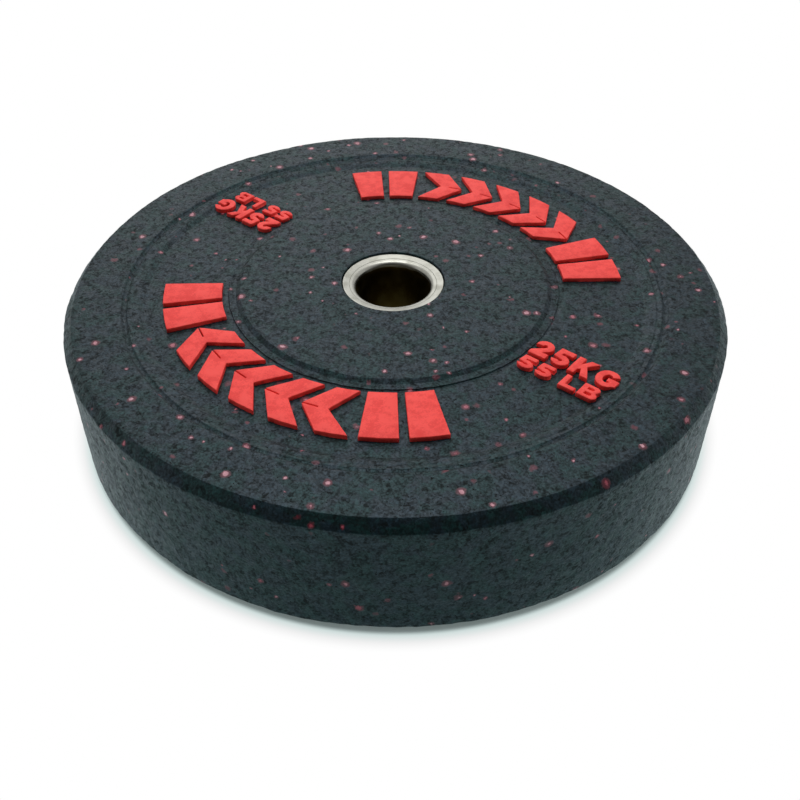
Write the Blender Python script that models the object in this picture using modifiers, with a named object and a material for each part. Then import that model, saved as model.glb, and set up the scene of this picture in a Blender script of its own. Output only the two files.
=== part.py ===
"""A 25 kg bumper weight plate: a thick disc of pressed crumb rubber with a steel hub and red rubber inserts.

Metres, +Z up. The plate lies flat, its axis is Z, and the origin is the centre of its underside.
Both faces are alike: the lower one is the upper one turned over about X.
"""

from math import cos, pi, radians, sin

import bpy
import bmesh
from mathutils import Vector

# Sizes are in metres and angles in degrees
MM = 0.001
GAP = 0.3 * MM
CAP_WELD = 0.01 * MM
SCREW_MERGE = 0.05 * MM
SHARP_ANGLE = 25
# A grown outline is blunted at corners sharper than this, the sine of half the corner's angle
SHARPEST_CORNER = 0.35

# Rubber disc
PLATE_RADIUS = 225 * MM
PLATE_THICKNESS = 94 * MM
EDGE_CHAMFER_WIDTH = 6.1 * MM
EDGE_CHAMFER_DEPTH = 6.8 * MM
RIM_INNER_RADIUS = 186 * MM
RIM_LEDGE_RADIUS = 184.4 * MM
RIM_LEDGE_DEPTH = 1.5 * MM
WEB_OUTER_RADIUS = 176.4 * MM
WEB_DEPTH = 3.1 * MM
BOSS_FOOT_RADIUS = 113.9 * MM
BOSS_SHELF_RADIUS = 109.5 * MM
BOSS_SHELF_DEPTH = 2.2 * MM
BOSS_RADIUS = 106 * MM
BODY_SIDES = 64

# Steel hub: two flanged half sleeves that meet at half the plate's thickness
BORE_RADIUS = 25.2 * MM
SLEEVE_WALL = 3 * MM
FLANGE_RADIUS = 35.5 * MM
FLANGE_THICKNESS = 4 * MM
FLANGE_EDGE = 0.5 * MM
HUB_SET_BACK = 0.8 * MM
MOUTH_ROUNDING = 7.8 * MM
FILLET_LEG = 3.8 * MM
MOUTH_STEPS = 6
HUB_SIDES = 48

# Perforated steel disc that anchors the hub in the rubber
ANCHOR_RADIUS = 75 * MM
ANCHOR_THICKNESS = 5 * MM
ANCHOR_HOLES = 8
ANCHOR_HOLE_RADIUS = 8 * MM
ANCHOR_HOLE_CIRCLE = 55 * MM
ANCHOR_SIDES = 48
HOLE_SIDES = 16

# Red inserts, moulded into the web. Widths and places along a band are angles.
INSERT_SET_BACK = 0.3 * MM
INSERT_THICKNESS = 5.8 * MM
BAND_INNER_RADIUS = 118.5 * MM
BAND_OUTER_RADIUS = 158.5 * MM
BAND_CENTRES = (50, 230)
CHEVRONS = 5
END_BARS = 2
CHEVRON_PITCH = 11
CHEVRON_WIDTH = 7.2
CHEVRON_REACH = 6.5
BAR_WIDTH = 8.6
BLOCK_SPACE = 2.2
CUT_WIDTH = 0.9 * MM
CUT_SHARE = 0.62

# Weight marks: the mass in kilograms, and below it the mass in pounds
MARK_ANGLES = (140.5, 320.5)
MARK_TILT = -1.6
MARK_START = 115.6 * MM
KILO_BASELINE = -6.2 * MM
KILO_HEIGHT = 16.4 * MM
KILO_STROKE = 4.7 * MM
KILO_WIDTHS = {"2": 12.4 * MM, "5": 12.2 * MM, "K": 14.6 * MM, "G": 15.4 * MM}
KILO_SPACE = 1.9 * MM
POUND_BASELINE = -21.6 * MM
POUND_HEIGHT = 12 * MM
POUND_STROKE = 3.7 * MM
POUND_WIDTHS = {"5": 11.2 * MM, "L": 11 * MM, "B": 12.2 * MM}
POUND_SPACE = 1.9 * MM
POUND_WORD_SPACE = 7 * MM
CARRIER_MARGIN = 1 * MM
CARRIER_THICKNESS = 1.5 * MM
CARRIER_OVERLAP = 0.8 * MM


def clear_scene():
    for obj in list(bpy.data.objects):
        bpy.data.objects.remove(obj, do_unlink=True)


def new_collection(name):
    collection = bpy.data.collections.new(name)
    bpy.context.scene.collection.children.link(collection)
    return collection


def make_material(name, colour, roughness, metallic):
    material = bpy.data.materials.new(name)
    material.use_nodes = True
    shader = material.node_tree.nodes["Principled BSDF"]
    shader.inputs["Base Color"].default_value = (*colour, 1)
    shader.inputs["Roughness"].default_value = roughness
    shader.inputs["Metallic"].default_value = metallic
    material.diffuse_color = (*colour, 1)
    return material


# Flat outlines. A loop runs counter-clockwise round material and clockwise round a hole.


def arc(centre, radius_x, radius_y, start, end, steps):
    """Points on an ellipse from one angle to another, in degrees, both ends included."""
    points = []
    for i in range(steps + 1):
        angle = radians(start + (end - start) * i / steps)
        points.append((centre[0] + radius_x * cos(angle), centre[1] + radius_y * sin(angle)))
    return points


def circle(centre, radius, sides, clockwise=False):
    turn = -360 if clockwise else 360
    return arc(centre, radius, radius, 0, turn * (sides - 1) / sides, sides - 1)


def moved(loop, across, up):
    return [(x + across, y + up) for x, y in loop]


def grown(loop, distance):
    """The loop with its material side pushed out by a distance, corner by corner."""
    points = []
    for i, here in enumerate(loop):
        before = Vector(loop[i - 1])
        after = Vector(loop[(i + 1) % len(loop)])
        here = Vector(here)
        first = (here - before).normalized()
        second = (after - here).normalized()
        bisector = Vector((first.y + second.y, -first.x - second.x)).normalized()
        spread = max(bisector.dot(Vector((first.y, -first.x))), SHARPEST_CORNER)
        points.append(tuple(here + bisector * distance / spread))
    return points


def flat_solid(name, loops, low, high, collection):
    """A prism over the loops, as a mesh object between two heights."""
    curve = bpy.data.curves.new(name, "CURVE")
    curve.dimensions = "2D"
    curve.fill_mode = "BOTH"
    curve.extrude = (high - low) / 2
    for loop in loops:
        spline = curve.splines.new("POLY")
        spline.points.add(len(loop) - 1)
        spline.use_cyclic_u = True
        for point, (x, y) in zip(spline.points, loop):
            point.co = (x, y, 0, 1)
    outline = bpy.data.objects.new(name + "_outline", curve)
    outline.location.z = (high + low) / 2
    collection.objects.link(outline)
    bpy.context.view_layer.update()
    graph = bpy.context.evaluated_depsgraph_get()
    mesh = bpy.data.meshes.new_from_object(outline.evaluated_get(graph))
    mesh.transform(outline.matrix_world)
    mesh.name = name
    bpy.data.objects.remove(outline)
    bpy.data.curves.remove(curve)
    weld = bmesh.new()
    weld.from_mesh(mesh)
    bmesh.ops.remove_doubles(weld, verts=weld.verts, dist=CAP_WELD)
    bmesh.ops.recalc_face_normals(weld, faces=weld.faces)
    weld.to_mesh(mesh)
    weld.free()
    solid = bpy.data.objects.new(name, mesh)
    collection.objects.link(solid)
    return solid


def turned_solid(name, profile, sides, collection):
    """A ring turned about Z from a closed profile of (radius, height) points, with the wall's run first."""
    mesh = bpy.data.meshes.new(name)
    edges = [(i, (i + 1) % len(profile)) for i in range(len(profile))]
    mesh.from_pydata([(radius, 0, height) for radius, height in profile], edges, [])
    solid = bpy.data.objects.new(name, mesh)
    collection.objects.link(solid)
    screw = solid.modifiers.new("Turn", "SCREW")
    screw.axis = "Z"
    screw.angle = 2 * pi
    screw.steps = sides
    screw.render_steps = sides
    screw.use_merge_vertices = True
    screw.merge_threshold = SCREW_MERGE
    return solid


def boolean(solid, name, operation, target=None, collection=None):
    modifier = solid.modifiers.new(name, "BOOLEAN")
    modifier.operation = operation
    if collection:
        modifier.operand_type = "COLLECTION"
        modifier.collection = collection
    else:
        modifier.object = target


def apply_modifiers(solid):
    """Replaces the object's mesh with its evaluated one."""
    bpy.context.view_layer.update()
    graph = bpy.context.evaluated_depsgraph_get()
    mesh = bpy.data.meshes.new_from_object(solid.evaluated_get(graph))
    mesh.name = solid.name
    solid.modifiers.clear()
    solid.data = mesh


def shade_round(solid):
    """Smooth shading that keeps the corners crisp."""
    apply_modifiers(solid)
    solid.data.shade_smooth()
    solid.data.set_sharp_from_angle(angle=radians(SHARP_ANGLE))


# Numerals and letters, each in a cell of width w and height h, drawn with a stroke of about t


def figure_two(w, h, t):
    tall = 0.34 * h
    centre = (w / 2, h - tall)
    outer = arc(centre, w / 2, tall, 188, -40, 9)
    inner = arc(centre, w / 2 - t, tall - 0.85 * t, -52, 176, 7)
    base = [(0.62 * w, 0.96 * t), (w, 0.96 * t), (w, 0), (0, 0), (0, 0.72 * t)]
    return [list(reversed(outer + base + inner))]


def figure_five(w, h, t):
    tall = 0.32 * h
    centre = (w / 2, tall)
    outer = arc(centre, w / 2, tall, 106, -170, 10)
    inner = arc(centre, w / 2 - t, tall - 0.85 * t, -155, 120, 6)
    top = [(0.1 * w, h), (0.95 * w, h), (0.95 * w, h - 0.9 * t), (0.38 * w, h - 0.9 * t)]
    return [list(reversed(top + outer + inner + [(0.02 * w, 0.47 * h)]))]


def letter_k(w, h, t):
    leg = 1.2 * t
    reach = 0.97 * w
    stem = [(0, h), (0, 0), (t, 0), (t, 0.27 * h), (1.36 * t, 0.38 * h)]
    arms = [(w - leg, 0), (w, 0), (0.62 * w, 0.6 * h), (reach, h), (reach - leg, h), (t, 0.62 * h), (t, h)]
    return [stem + arms]


def letter_g(w, h, t):
    centre = (w / 2, h / 2)
    outer = arc(centre, w / 2, h / 2, 34, 318, 14)
    inner = arc(centre, w / 2 - t, h / 2 - 0.9 * t, 316, 42, 12)
    side = 0.98 * w
    shelf = 0.56 * h
    under = 0.37 * h
    spur = [(side, 0.2 * h), (side, shelf), (0.5 * w, shelf), (0.5 * w, under), (0.65 * w, under)]
    return [outer + spur + inner]


def letter_l(w, h, t):
    return [[(0, 0), (w, 0), (w, 0.9 * t), (t, 0.9 * t), (t, h), (0, h)]]


def letter_b(w, h, t):
    waist = 0.52 * h
    low = waist / 2
    high = (h - waist) / 2
    lower = arc((w - low, low), low, low, -90, 68, 6)
    upper = arc((0.96 * w - low, h - high), high, high, -62, 90, 6)
    outline = [(0, 0)] + lower + upper + [(0, h)]
    bar = 0.68 * t
    low_counter = counter(t, w - t, bar, waist - bar / 2, t)
    high_counter = counter(t, w - 1.1 * t, waist + bar / 2, h - bar, t)
    return [outline, low_counter, high_counter]


def counter(left, right, bottom, top, stroke):
    """The hole in a letter, pointed on its right side."""
    shoulder = right - 0.25 * stroke
    return [(left, bottom), (left, top), (shoulder, top), (right, (bottom + top) / 2), (shoulder, bottom)]


GLYPHS = {"2": figure_two, "5": figure_five, "K": letter_k, "G": letter_g, "L": letter_l, "B": letter_b}


# Blocks of the red bands. A band point is an angle, clockwise from the block's middle, and a radius.


def band_points(pairs):
    return [(radius * cos(radians(-angle)), radius * sin(radians(-angle))) for angle, radius in pairs]


def bar_outline():
    steps = (-BAR_WIDTH / 2, 0, BAR_WIDTH / 2)
    outer = [(angle, BAND_OUTER_RADIUS) for angle in steps]
    inner = [(angle, BAND_INNER_RADIUS) for angle in reversed(steps)]
    return list(reversed(band_points(outer + inner)))


def chevron_outline(cut=False):
    """A chevron that points along the band, with a thin cut into its tip when asked for."""
    half = CHEVRON_WIDTH / 2
    back = -CHEVRON_REACH / 2
    tip = CHEVRON_REACH / 2
    middle = (BAND_INNER_RADIUS + BAND_OUTER_RADIUS) / 2
    pairs = [(back - half, BAND_INNER_RADIUS), (tip - half, middle), (back - half, BAND_OUTER_RADIUS)]
    pairs += [(back, BAND_OUTER_RADIUS), (back + half, BAND_OUTER_RADIUS)]
    if cut:
        mouth = tip + half - CHEVRON_REACH * CUT_WIDTH / (BAND_OUTER_RADIUS - BAND_INNER_RADIUS)
        end = tip + half - CUT_SHARE * CHEVRON_WIDTH
        outer, inner = middle + CUT_WIDTH / 2, middle - CUT_WIDTH / 2
        pairs += [(mouth, outer), (end, outer), (end, inner), (mouth, inner)]
    else:
        pairs += [(tip + half, middle)]
    pairs += [(back + half, BAND_INNER_RADIUS), (back, BAND_INNER_RADIUS)]
    return list(reversed(band_points(pairs)))


# Profiles, as (radius, depth below the face) from the hub outwards


def rubber_face_profile():
    cone = 2 ** 0.5 * GAP
    flange_seat = HUB_SET_BACK + FLANGE_THICKNESS + GAP
    sleeve_seat = BORE_RADIUS + SLEEVE_WALL + GAP
    fillet_top = BORE_RADIUS + SLEEVE_WALL + FILLET_LEG + HUB_SET_BACK + FLANGE_THICKNESS + cone
    return [
        (sleeve_seat, fillet_top - sleeve_seat),
        (fillet_top - flange_seat, flange_seat),
        (FLANGE_RADIUS + GAP, flange_seat),
        (FLANGE_RADIUS + GAP, 0),
        (BOSS_RADIUS, 0),
        (BOSS_SHELF_RADIUS, BOSS_SHELF_DEPTH),
        (BOSS_FOOT_RADIUS, BOSS_SHELF_DEPTH),
        (BOSS_FOOT_RADIUS, WEB_DEPTH),
        (WEB_OUTER_RADIUS, WEB_DEPTH),
        (RIM_LEDGE_RADIUS, RIM_LEDGE_DEPTH),
        (RIM_INNER_RADIUS, 0),
        (PLATE_RADIUS - EDGE_CHAMFER_WIDTH, 0),
        (PLATE_RADIUS, EDGE_CHAMFER_DEPTH),
    ]


def hub_profile():
    """Half of the hub: flange, rounded mouth and half of the sleeve, as (radius, height) round a loop."""
    face = -HUB_SET_BACK
    under = face - FLANGE_THICKNESS
    middle = -PLATE_THICKNESS / 2 + GAP / 2
    outside = BORE_RADIUS + SLEEVE_WALL
    mouth_centre = (BORE_RADIUS + MOUTH_ROUNDING, face - MOUTH_ROUNDING)
    points = [
        (FLANGE_RADIUS - FLANGE_EDGE, face),
        (FLANGE_RADIUS, face - FLANGE_EDGE),
        (FLANGE_RADIUS, under),
        (outside + FILLET_LEG, under),
        (outside, under - FILLET_LEG),
        (outside, middle),
        (BORE_RADIUS, middle),
    ]
    return points + arc(mouth_centre, MOUTH_ROUNDING, MOUTH_ROUNDING, 180, 90, MOUTH_STEPS)


# Pieces


def make_rubber_body(parts, cutters, pockets, rubber):
    face = rubber_face_profile()
    upper = [(radius, PLATE_THICKNESS - depth) for radius, depth in face]
    lower = [(radius, depth) for radius, depth in reversed(face)]
    body = turned_solid("rubber_body", upper + lower, BODY_SIDES, parts)
    body.data.materials.append(rubber)
    # The slot opens into the bore, which the sleeves fill.
    slot = anchor_shape("anchor_slot", GAP, BORE_RADIUS + SLEEVE_WALL, cutters)
    slot.hide_render = True
    slot.display_type = "WIRE"
    boolean(body, "Anchor slot", "DIFFERENCE", target=slot)
    boolean(body, "Insert pockets", "DIFFERENCE", collection=pockets)
    shade_round(body)


def anchor_shape(name, gap, inner_radius, collection):
    """The perforated anchor disc, grown by a gap everywhere but at its inner edge."""
    middle = PLATE_THICKNESS / 2
    half = ANCHOR_THICKNESS / 2 + gap
    loops = [circle((0, 0), ANCHOR_RADIUS + gap, ANCHOR_SIDES)]
    loops.append(circle((0, 0), inner_radius, ANCHOR_SIDES, clockwise=True))
    for i in range(ANCHOR_HOLES):
        angle = 2 * pi * i / ANCHOR_HOLES
        centre = (ANCHOR_HOLE_CIRCLE * cos(angle), ANCHOR_HOLE_CIRCLE * sin(angle))
        loops.append(circle(centre, ANCHOR_HOLE_RADIUS - gap, HOLE_SIDES, clockwise=True))
    return flat_solid(name, loops, middle - half, middle + half, collection)


def make_anchor(parts, zinc):
    disc = anchor_shape("anchor_disc", 0, BORE_RADIUS + SLEEVE_WALL + GAP, parts)
    disc.data.materials.append(zinc)


def make_hub(parts, frames, steel):
    for side, frame in frames.items():
        half = turned_solid(side + "_hub_sleeve", hub_profile(), HUB_SIDES, parts)
        half.parent = frame
        half.data.materials.append(steel)
        shade_round(half)


def moved_glyph(glyph, width, height, stroke, across, up):
    return [moved(loop, across, up) for loop in GLYPHS[glyph](width, height, stroke)]


def kilo_cells():
    """Each character of the upper line with its outlines, in place along the line."""
    across = MARK_START
    for glyph, width in KILO_WIDTHS.items():
        yield glyph, moved_glyph(glyph, width, KILO_HEIGHT, KILO_STROKE, across, KILO_BASELINE)
        across += width + KILO_SPACE


def pound_cells(counters=True):
    """The outlines of the lower line, with or without the counters of the B, and where the line ends."""
    across = MARK_START
    loops = []
    for glyph in "55LB":
        if glyph == "L":
            across += POUND_WORD_SPACE - POUND_SPACE
        width = POUND_WIDTHS[glyph]
        cell = moved_glyph(glyph, width, POUND_HEIGHT, POUND_STROKE, across, POUND_BASELINE)
        loops += cell if counters else cell[:1]
        across += width + POUND_SPACE
    return loops, across - POUND_SPACE


def insert_levels():
    """The lowest and highest point of an insert, from the face."""
    return -INSERT_SET_BACK - INSERT_THICKNESS, -INSERT_SET_BACK


def place(obj, frame, angle):
    obj.parent = frame
    obj.rotation_euler.z = radians(angle)


def make_copy(name, mesh, frame, angle, collection):
    obj = bpy.data.objects.new(name, mesh)
    collection.objects.link(obj)
    place(obj, frame, angle)


def make_pocket(name, loops, frame, angle, pockets, levels):
    """A cutter that leaves the gap all round an insert."""
    low, high = levels
    cutter = flat_solid(name, [grown(loop, GAP) for loop in loops], low - GAP, high + GAP, pockets)
    place(cutter, frame, angle)
    cutter.hide_render = True
    cutter.display_type = "WIRE"


def block_places():
    """The kind of each block of a band and its angle, clockwise from the band's middle."""
    last_chevron = CHEVRON_PITCH * (CHEVRONS - 1) / 2
    first_bar = last_chevron + (CHEVRON_REACH + CHEVRON_WIDTH + BAR_WIDTH) / 2 + BLOCK_SPACE
    bars = [first_bar + i * (BAR_WIDTH + BLOCK_SPACE) for i in range(END_BARS)]
    places = [("bar", -angle) for angle in reversed(bars)]
    places += [("chevron", i * CHEVRON_PITCH - last_chevron) for i in range(CHEVRONS)]
    return places + [("bar", angle) for angle in bars]


def make_bands(parts, pockets, frames, red):
    levels = insert_levels()
    outlines = {"bar": bar_outline(), "chevron": chevron_outline(cut=True)}
    pocket_outlines = {"bar": bar_outline(), "chevron": chevron_outline()}
    meshes = {}
    for kind, outline in outlines.items():
        pattern = flat_solid(kind + "_pattern", [outline], *levels, parts)
        meshes[kind] = pattern.data
        meshes[kind].materials.append(red)
        bpy.data.objects.remove(pattern)
    for side, frame in frames.items():
        for band, centre in enumerate(BAND_CENTRES, 1):
            for number, (kind, offset) in enumerate(block_places(), 1):
                name = f"{side}_band{band}_{kind}_{number}"
                angle = centre - offset
                make_copy(name, meshes[kind], frame, angle, parts)
                make_pocket(name + "_pocket", [pocket_outlines[kind]], frame, angle, pockets, levels)


def make_marks(parts, pockets, frames, red):
    meshes = {}
    for glyph, loops in kilo_cells():
        pattern = flat_solid("mark_" + glyph, loops, *insert_levels(), parts)
        meshes[glyph] = pattern.data
        bpy.data.objects.remove(pattern)
    meshes["pounds_line"] = make_pounds_line(parts)
    for mesh in meshes.values():
        mesh.materials.append(red)
    for side, frame in frames.items():
        for number, angle in enumerate(MARK_ANGLES, 1):
            for name, mesh in meshes.items():
                make_copy(f"{side}_mark{number}_{name}", mesh, frame, angle + MARK_TILT, parts)
            make_mark_pockets(f"{side}_mark{number}", frame, angle + MARK_TILT, pockets)


def carrier_loop():
    """The strip that joins the lower line's letters under the web's surface."""
    end = pound_cells()[1]
    left, right = MARK_START + CARRIER_MARGIN, end - CARRIER_MARGIN
    bottom, top = POUND_BASELINE + CARRIER_MARGIN, POUND_BASELINE + POUND_HEIGHT - CARRIER_MARGIN
    return [(left, bottom), (right, bottom), (right, top), (left, top)]


def make_pounds_line(parts):
    low, high = insert_levels()
    letters = flat_solid("pounds_letters", pound_cells()[0], low + CARRIER_OVERLAP, high, parts)
    carrier = flat_solid("pounds_line", [carrier_loop()], low, low + CARRIER_THICKNESS, parts)
    boolean(carrier, "Letters", "UNION", target=letters)
    apply_modifiers(carrier)
    mesh = carrier.data
    bpy.data.objects.remove(letters)
    bpy.data.objects.remove(carrier)
    return mesh


def make_mark_pockets(name, frame, angle, pockets):
    low, high = insert_levels()
    for glyph, loops in kilo_cells():
        make_pocket(f"{name}_{glyph}_pocket", loops, frame, angle, pockets, (low, high))
    outlines = pound_cells(counters=False)[0]
    make_pocket(name + "_letters_pocket", outlines, frame, angle, pockets, (low + CARRIER_OVERLAP, high))
    carrier_levels = (low, low + CARRIER_THICKNESS)
    make_pocket(name + "_carrier_pocket", [carrier_loop()], frame, angle, pockets, carrier_levels)


def make_frames(parts):
    """An empty at the centre of each face, its Z pointing out of the face."""
    frames = {}
    for side, height, turn in (("upper", PLATE_THICKNESS, 0), ("lower", 0, pi)):
        frame = bpy.data.objects.new(side + "_face", None)
        frame.empty_display_size = 10 * MM
        frame.location.z = height
        frame.rotation_euler.x = turn
        parts.objects.link(frame)
        frames[side] = frame
    return frames


def main():
    clear_scene()
    parts = new_collection("bumper_plate")
    cutters = new_collection("cutters")
    pockets = bpy.data.collections.new("insert_pockets")
    cutters.children.link(pockets)
    rubber = make_material("crumb_rubber", (0.05, 0.058, 0.062), 0.85, 0)
    red = make_material("red_rubber", (0.85, 0.06, 0.05), 0.6, 0)
    steel = make_material("brushed_stainless", (0.55, 0.54, 0.51), 0.3, 1)
    zinc = make_material("plated_anchor_steel", (0.4, 0.41, 0.42), 0.45, 1)
    frames = make_frames(parts)
    make_bands(parts, pockets, frames, red)
    make_marks(parts, pockets, frames, red)
    make_hub(parts, frames, steel)
    make_anchor(parts, zinc)
    make_rubber_body(parts, cutters, pockets, rubber)
    bpy.context.view_layer.update()


main()
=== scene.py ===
"""The looks of a 25 kg bumper weight plate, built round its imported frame.

The plate is a disc of pressed crumb rubber with a turned steel hub and red rubber inserts. It lies flat,
+Z up, in metres, with the origin at the middle of its underside. Its upper and lower faces are alike.
"""

import logging
from dataclasses import dataclass, field, replace
from enum import Enum
from math import atan, copysign, cos, hypot, pi, radians, sin, tan
from typing import Any, Iterable, List, Mapping, Sequence, Tuple, Union

import bmesh
import bpy
from mathutils import Matrix, Vector, noise


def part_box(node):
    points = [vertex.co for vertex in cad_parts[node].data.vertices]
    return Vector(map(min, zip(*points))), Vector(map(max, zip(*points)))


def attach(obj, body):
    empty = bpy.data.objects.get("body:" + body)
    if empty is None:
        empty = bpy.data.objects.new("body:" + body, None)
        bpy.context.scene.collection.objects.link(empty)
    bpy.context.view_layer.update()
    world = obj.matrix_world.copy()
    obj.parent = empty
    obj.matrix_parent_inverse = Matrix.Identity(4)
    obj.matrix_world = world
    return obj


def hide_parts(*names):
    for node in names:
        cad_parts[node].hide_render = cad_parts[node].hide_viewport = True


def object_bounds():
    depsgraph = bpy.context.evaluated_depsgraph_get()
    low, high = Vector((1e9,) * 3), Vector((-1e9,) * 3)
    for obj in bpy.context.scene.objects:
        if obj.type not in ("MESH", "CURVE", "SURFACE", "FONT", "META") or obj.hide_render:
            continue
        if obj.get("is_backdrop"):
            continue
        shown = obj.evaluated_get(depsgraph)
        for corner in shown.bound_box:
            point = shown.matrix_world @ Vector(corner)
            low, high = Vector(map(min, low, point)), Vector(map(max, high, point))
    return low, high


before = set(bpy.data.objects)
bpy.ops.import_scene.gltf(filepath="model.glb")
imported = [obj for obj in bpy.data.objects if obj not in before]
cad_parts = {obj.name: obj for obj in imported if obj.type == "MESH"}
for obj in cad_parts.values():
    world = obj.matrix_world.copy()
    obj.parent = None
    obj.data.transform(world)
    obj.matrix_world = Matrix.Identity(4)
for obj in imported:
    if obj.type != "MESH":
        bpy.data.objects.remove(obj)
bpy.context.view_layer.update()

LOG = logging.getLogger("plate")
MM = 0.001
BODY = "root"

Colour = Tuple[float, float, float]
Socket = bpy.types.NodeSocket
Material = bpy.types.Material
Mesh = bpy.types.Mesh
Operand = Union["Number", float]
Settings = Mapping[str, Any]
Inputs = Mapping[Any, Any]


# Shader maths


class Number:
    """A number that varies over a surface. Arithmetic on it adds Math nodes to its tree."""

    def __init__(self, nodes: "Nodes", socket: Socket) -> None:
        """Wraps a socket.

        Args:
            nodes: The tree that the socket belongs to.
            socket: The output that carries the number.
        """
        self.nodes = nodes
        self.socket = socket

    def __add__(self, other: Operand) -> "Number":
        """The sum."""
        return self.nodes.maths("ADD", self, other)

    __radd__ = __add__

    def __sub__(self, other: Operand) -> "Number":
        """The difference."""
        return self.nodes.maths("SUBTRACT", self, other)

    def __rsub__(self, other: Operand) -> "Number":
        """The difference, with this number taken away."""
        return self.nodes.maths("SUBTRACT", other, self)

    def __mul__(self, other: Operand) -> "Number":
        """The product."""
        return self.nodes.maths("MULTIPLY", self, other)

    __rmul__ = __mul__

    def __truediv__(self, other: Operand) -> "Number":
        """The quotient."""
        return self.nodes.maths("DIVIDE", self, other)

    def __pow__(self, other: Operand) -> "Number":
        """The power."""
        return self.nodes.maths("POWER", self, other)

    def larger(self, other: Operand) -> "Number":
        """The larger of two numbers."""
        return self.nodes.maths("MAXIMUM", self, other)

    def rise(self, low: Operand, high: Operand) -> "Number":
        """A smooth step from 0 at one level to 1 at another.

        Args:
            low: The level at which the step starts.
            high: The level at which it ends.

        Returns:
            The step, from 0 to 1.
        """
        settings = {"interpolation_type": "SMOOTHSTEP"}
        inputs = {"Value": self, "From Min": low, "From Max": high}
        return self.nodes.number("ShaderNodeMapRange", "Result", settings, inputs)


class Nodes:
    """A node tree that is filled one node at a time."""

    def __init__(self, owner: Union[Material, bpy.types.World]) -> None:
        """Empties the owner's tree.

        Args:
            owner: The material or world.
        """
        owner.use_nodes = True
        self.tree = owner.node_tree
        self.tree.nodes.clear()

    def add(self, kind: str, settings: Settings = {}, inputs: Inputs = {}) -> bpy.types.Node:
        """Adds one node.

        Args:
            kind: The node's type.
            settings: Its properties, which are set first.
            inputs: Values or links of its sockets, by name or number.

        Returns:
            The node.
        """
        node = self.tree.nodes.new(kind)
        for name, value in settings.items():
            setattr(node, name, value)
        for name, value in inputs.items():
            socket = node.inputs[name]
            source = value.socket if isinstance(value, Number) else value
            if isinstance(source, Socket):
                self.tree.links.new(source, socket)
            else:
                socket.default_value = source
        return node

    def number(self, kind: str, output: Any, settings: Settings = {}, inputs: Inputs = {}) -> Number:
        """Adds one node and wraps one of its outputs.

        Args:
            kind: The node's type.
            output: The output's name or number.
            settings: As in add.
            inputs: As in add.

        Returns:
            The output as a number.
        """
        return Number(self, self.add(kind, settings, inputs).outputs[output])

    def maths(self, operation: str, first: Operand, second: Operand) -> Number:
        """One Math node.

        Args:
            operation: Its operation.
            first: Its first operand.
            second: Its second operand.

        Returns:
            The result.
        """
        return self.number("ShaderNodeMath", 0, {"operation": operation}, {0: first, 1: second})

    def vector(self, operation: str, first: Any, second: Any) -> Socket:
        """One Vector Math node.

        Args:
            operation: Its operation.
            first: Its first vector.
            second: Its second vector, or the factor of a SCALE.

        Returns:
            The resulting vector.
        """
        second_name = "Scale" if operation == "SCALE" else 1
        node = self.add("ShaderNodeVectorMath", {"operation": operation}, {0: first, second_name: second})
        return node.outputs["Vector"]

    def blend(self, factor: Operand, first: Any, second: Any) -> Socket:
        """A colour between two others.

        Args:
            factor: 0 for the first and 1 for the second.
            first: A colour or a link.
            second: A colour or a link.

        Returns:
            The mixed colour.
        """
        node = self.add("ShaderNodeMix", {"data_type": "RGBA"}, {0: factor})
        for number, value in ((6, first), (7, second)):
            if isinstance(value, Socket):
                self.tree.links.new(value, node.inputs[number])
            else:
                node.inputs[number].default_value = (*value, 1)
        return node.outputs[2]

    def place(self) -> Socket:
        """The point on the surface, in the object's own metres."""
        return self.add("ShaderNodeTexCoord").outputs["Object"]

    def axis(self, place: Socket, name: str) -> Number:
        """A vector's X, Y or Z."""
        return self.number("ShaderNodeSeparateXYZ", name, {}, {0: place})

    def length(self, place: Socket) -> Number:
        """A vector's length."""
        return self.number("ShaderNodeVectorMath", "Value", {"operation": "LENGTH"}, {0: place})

    def noise(self, place: Socket, size: float, detail: float = 2.0) -> bpy.types.Node:
        """Soft noise.

        Args:
            place: Where it is read.
            size: The size of its largest features, in metres.
            detail: How many finer layers it has.

        Returns:
            The noise node, with outputs Fac and Color.
        """
        return self.add("ShaderNodeTexNoise", {}, {"Vector": place, "Scale": 1 / size, "Detail": detail})

    def noise_level(self, place: Socket, size: float, detail: float = 2.0) -> Number:
        """Soft noise as a number round 0.5, with arguments as for noise."""
        return Number(self, self.noise(place, size, detail).outputs["Fac"])

    def shaken(self, place: Socket, size: float, reach: float) -> Socket:
        """Points moved about by noise, so that cells read there have ragged outlines.

        Args:
            place: The points.
            size: The size of the noise's features, in metres.
            reach: About how far a point moves, in metres.

        Returns:
            The moved points.
        """
        centred = self.vector("SUBTRACT", self.noise(place, size).outputs["Color"], (0.5, 0.5, 0.5))
        return self.vector("ADD", place, self.vector("SCALE", centred, 2 * reach))

    def cells(self, place: Socket, size: float) -> Tuple[Number, Number, Number, Number]:
        """Cells of random shape, each with three random numbers of its own.

        Args:
            place: Where they are read.
            size: Their mean width, in metres.

        Returns:
            The three numbers, each even from 0 to 1, and the distance from the cell's middle, in cell widths.
        """
        cell = self.add("ShaderNodeTexVoronoi", {}, {"Vector": place, "Scale": 1 / size})
        split = self.add("ShaderNodeSeparateColor", {}, {0: cell.outputs["Color"]})
        return tuple(Number(self, output) for output in (*split.outputs, cell.outputs["Distance"]))

    def cell_edge(self, place: Socket, size: float) -> Number:
        """How far a point is from the edge of its cell, in cell widths, with arguments as for cells."""
        settings = {"feature": "DISTANCE_TO_EDGE"}
        return self.number("ShaderNodeTexVoronoi", "Distance", settings, {"Vector": place, "Scale": 1 / size})

    def bump(self, height: Number) -> Socket:
        """A normal from a height in millimetres."""
        return self.add("ShaderNodeBump", {}, {"Height": height, "Distance": MM}).outputs["Normal"]

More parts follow.
